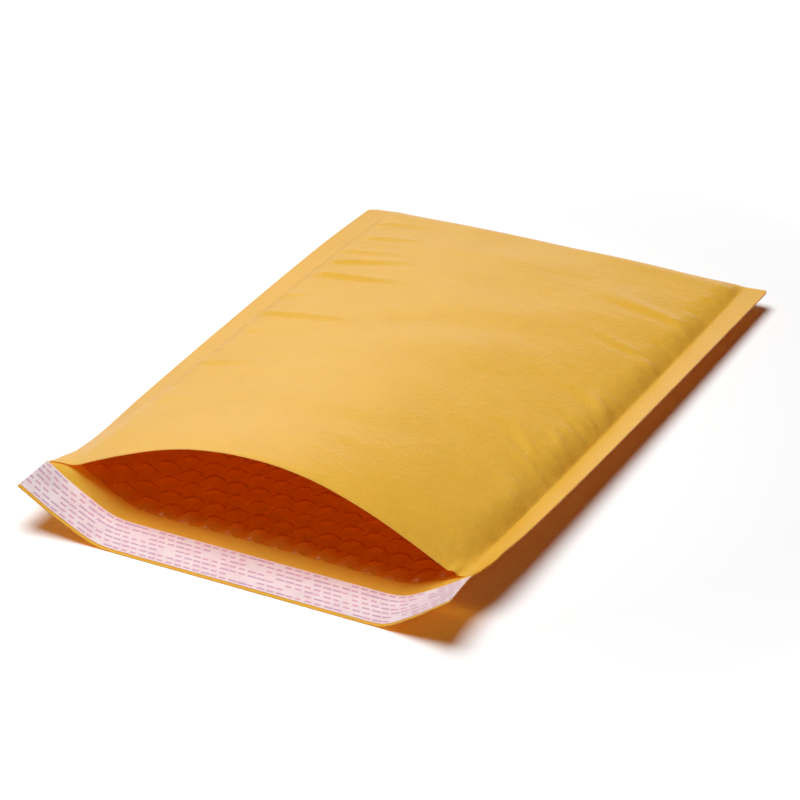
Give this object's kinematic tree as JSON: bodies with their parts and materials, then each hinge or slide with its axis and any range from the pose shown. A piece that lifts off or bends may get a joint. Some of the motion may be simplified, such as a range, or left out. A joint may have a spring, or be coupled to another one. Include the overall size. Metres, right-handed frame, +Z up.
{
  "type": "padded envelope",
  "caption": "Kraft padded mailing envelope with a bubble film lining, heat-sealed sides, an open mouth and a flap with a peel-off liner",
  "frame": {"origin": "on the floor, under the middle of the back panel", "axes": "+X across the envelope, +Y from the mouth to the bottom fold, +Z up from the back panel to the front panel"},
  "size_m": [0.2142, 0.334, 0.045],
  "materials": {
    "kraft_paper": "matte golden kraft",
    "bubble_lining": "glossy clear film",
    "adhesive_strip": "tacky, clear to cream",
    "release_liner": "smooth, silicone coated"
  },
  "bodies": {
    "root": {"kraft_paper": "kraft_paper", "bubble_lining": "bubble_lining", "adhesive_strip": "adhesive_strip", "release_liner": "release_liner"}
  },
  "joints": []
}
